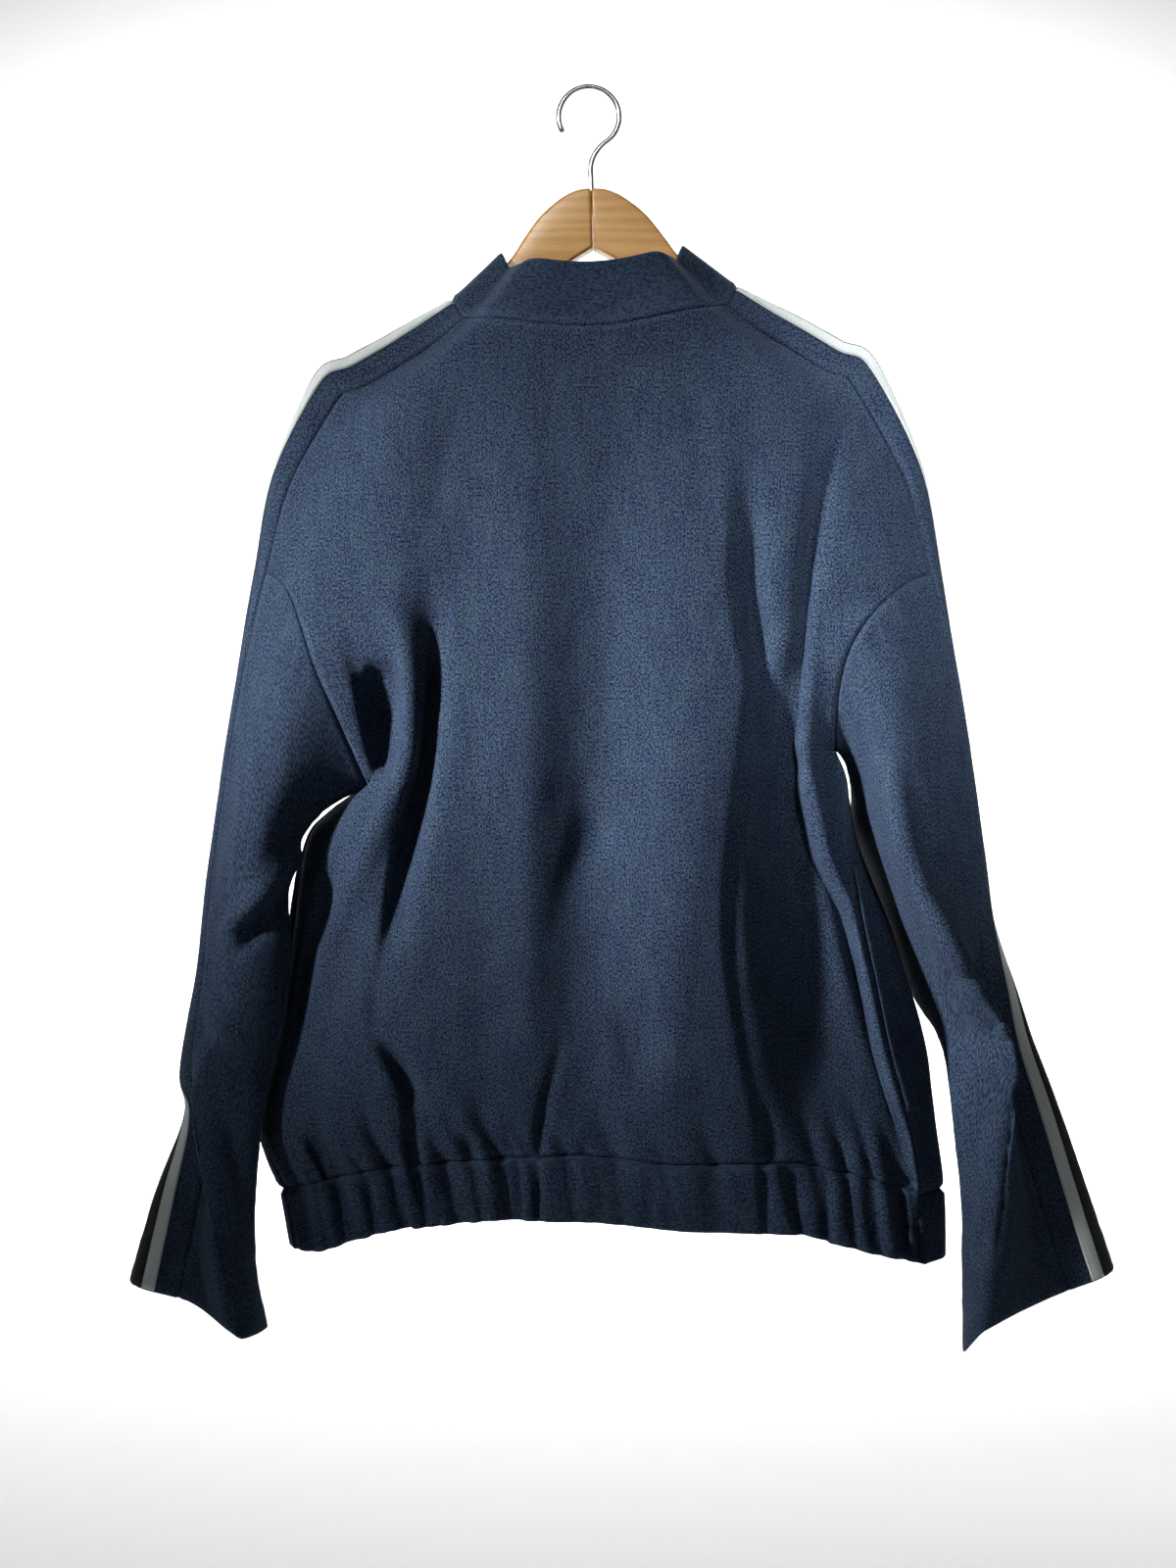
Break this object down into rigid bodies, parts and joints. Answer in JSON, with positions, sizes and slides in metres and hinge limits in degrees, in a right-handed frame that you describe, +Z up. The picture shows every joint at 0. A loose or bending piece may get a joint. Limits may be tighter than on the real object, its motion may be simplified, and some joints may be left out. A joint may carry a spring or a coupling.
{
  "type": "denim bomber jacket on a wooden hanger",
  "caption": "Zipped denim bomber jacket with striped tape along both sleeves, hung on a wooden hanger and seen from its back.",
  "frame": {"origin": "highest point inside the hanger's hook, where it rests on a rail", "axes": "+Z up, +X towards the wearer's right, +Y towards the wearer's front, so the jacket's back faces -Y"},
  "size_m": [0.6869, 0.1245, 0.8735],
  "materials": {
    "denim": "washed dark indigo twill",
    "white_tape": "matt woven tape",
    "black_tape": "matt woven tape",
    "wood": "satin varnish",
    "steel": "polished wire",
    "zip_metal": "satin"
  },
  "bodies": {
    "jacket_on_hanger": {"back_panel": "denim", "front_left": "denim", "front_right": "denim", "saddle_left": "denim", "saddle_right": "denim", "sleeve_back_left": "denim", "sleeve_back_right": "denim", "sleeve_front_left": "denim", "sleeve_front_right": "denim", "collar": "denim", "waistband": "denim", "pocket_welt_left": "denim", "pocket_welt_right": "denim", "white_tape_left": "white_tape", "white_tape_right": "white_tape", "black_tape_left": "black_tape", "black_tape_right": "black_tape", "zip_tape_left": "black_tape", "zip_tape_right": "black_tape", "zip_chain": "zip_metal", "zip_slider": "zip_metal", "hanger_left": "wood", "hanger_right": "wood", "hanger_hook": "steel"},
    "zip_pull": {"zip_pull": "zip_metal"}
  },
  "joints": [
    {"name": "zip_pull_hinge", "type": "hinge", "parent": "jacket_on_hanger", "child": "zip_pull", "pos_m": [0.00017, 0.04343, -0.20023], "axis": [1, 0, 0], "range_deg": [0, 150]}
  ]
}
